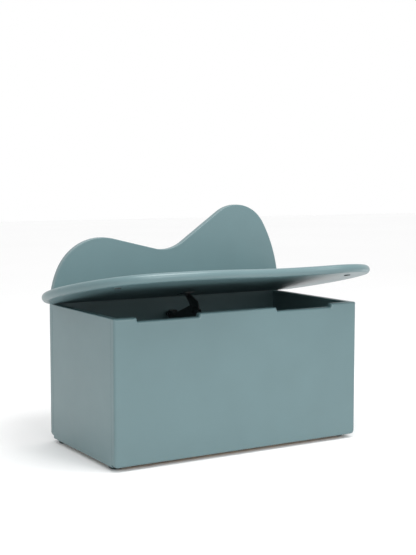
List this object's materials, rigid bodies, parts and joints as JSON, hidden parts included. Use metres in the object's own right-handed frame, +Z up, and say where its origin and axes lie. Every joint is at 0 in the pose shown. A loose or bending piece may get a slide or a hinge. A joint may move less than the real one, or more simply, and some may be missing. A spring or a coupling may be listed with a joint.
{
  "type": "toy box",
  "caption": "Lacquered wooden toy box with a tall wavy back, a wide rounded hinged lid held by a sprung stay, finger notches in the front and low feet.",
  "frame": {"origin": "on the floor, in the middle of the whole outline seen from above with the lid ajar at its rest pose", "axes": "+X to the right along the box's width as seen from the front, +Y to the rear (the tall back is at +Y, the front faces -Y), +Z up"},
  "size_m": [0.8766, 0.4468, 0.6098],
  "materials": {
    "teal_lacquered_board": "satin lacquer",
    "plain_wood": "sanded",
    "dark_foot": "matt",
    "soft_bumper": "satin",
    "steel": "satin",
    "black_steel": "satin"
  },
  "bodies": {
    "case": {"front_panel": "teal_lacquered_board", "back_panel": "teal_lacquered_board", "side_panel_left": "teal_lacquered_board", "side_panel_right": "teal_lacquered_board", "bottom_panel": "teal_lacquered_board", "batten_front": "plain_wood", "batten_rear": "plain_wood", "batten_left": "plain_wood", "batten_right": "plain_wood", "panel_dowels": "plain_wood", "foot_front_left": "dark_foot", "foot_front_right": "dark_foot", "foot_rear_left": "dark_foot", "foot_rear_right": "dark_foot", "foot_screws": "steel", "hinge_left_case_leaf": "steel", "hinge_right_case_leaf": "steel", "hinge_left_pin": "steel", "hinge_right_pin": "steel", "hinge_case_screws": "steel", "stay_base": "black_steel", "stay_base_screws": "black_steel", "stay_eyelet": "black_steel"},
    "lid": {"lid": "teal_lacquered_board", "bumper_left": "soft_bumper", "bumper_right": "soft_bumper", "hinge_left_lid_leaf": "steel", "hinge_right_lid_leaf": "steel", "hinge_lid_screws": "steel", "stay_lid_bracket": "black_steel", "stay_lid_screws": "black_steel", "stay_lid_pin": "black_steel"},
    "stay_lower": {"stay_housing": "black_steel", "stay_elbow_pin": "black_steel", "stay_spring": "steel"},
    "stay_upper": {"stay_arm": "black_steel"}
  },
  "joints": [
    {"name": "lid_hinge", "type": "hinge", "parent": "case", "child": "lid", "pos_m": [0, 0.2023, 0.3838], "axis": [-1, 0, 0], "range_deg": [-11.35, 60]},
    {"name": "stay_base_pivot", "type": "hinge", "parent": "case", "child": "stay_lower", "pos_m": [-0.015, 0.186, 0.3177], "axis": [-1, 0, 0], "range_deg": [-11.35, 60]},
    {"name": "stay_lid_pivot", "type": "hinge", "parent": "lid", "child": "stay_upper", "pos_m": [-0.015, 0.09438, 0.37542], "axis": [-1, 0, 0], "range_deg": [-60, 11.35]}
  ],
  "couplings": [
    {"joint": "stay_base_pivot", "follows": "lid_hinge", "ratio": 1},
    {"joint": "stay_lid_pivot", "follows": "lid_hinge", "ratio": -1}
  ]
}
